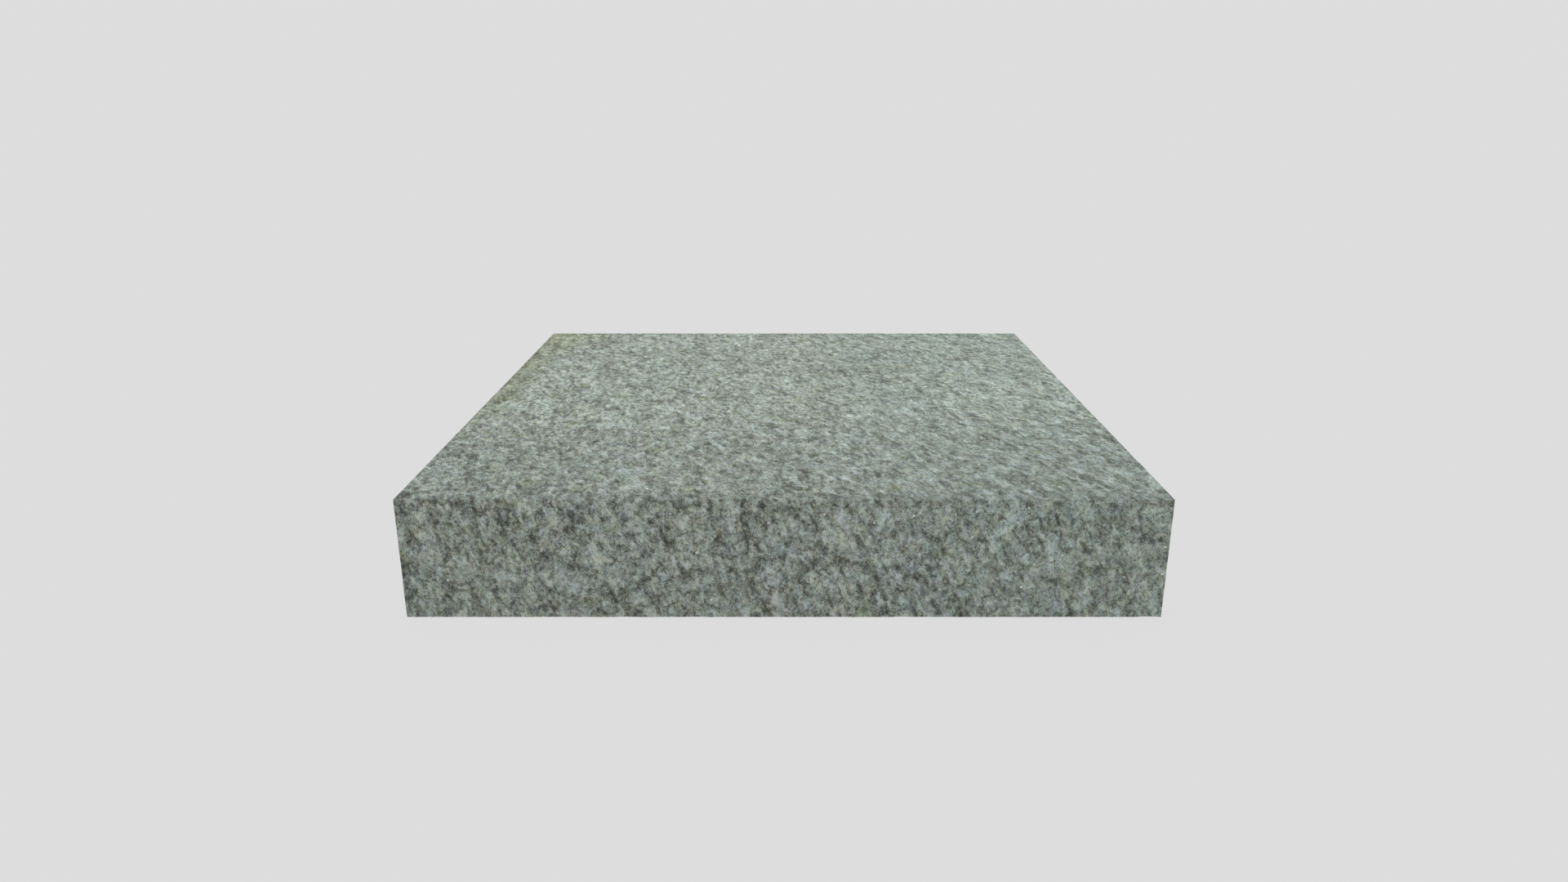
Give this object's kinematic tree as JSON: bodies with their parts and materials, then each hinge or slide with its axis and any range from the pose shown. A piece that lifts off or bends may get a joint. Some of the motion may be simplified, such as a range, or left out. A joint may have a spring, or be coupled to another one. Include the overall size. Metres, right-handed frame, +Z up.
{
  "type": "granite slab",
  "caption": "Square granite slab with a flat, finely textured working face and rough split sides, on thin round rubber pads, as a solid base for stamping and tooling leather.",
  "frame": {"origin": "under the middle of the slab, on the surface that the pads stand on", "axes": "+Z up through the slab's thickness; -Y is the front side and +X is to the right; the slab is square in X and Y"},
  "size_m": [0.3048, 0.3048, 0.0526],
  "materials": {
    "granite": "matte",
    "pad_rubber": "matte"
  },
  "bodies": {
    "root": {"granite_slab": "granite", "pad_front_left": "pad_rubber", "pad_front_right": "pad_rubber", "pad_back_left": "pad_rubber", "pad_back_right": "pad_rubber"}
  },
  "joints": []
}
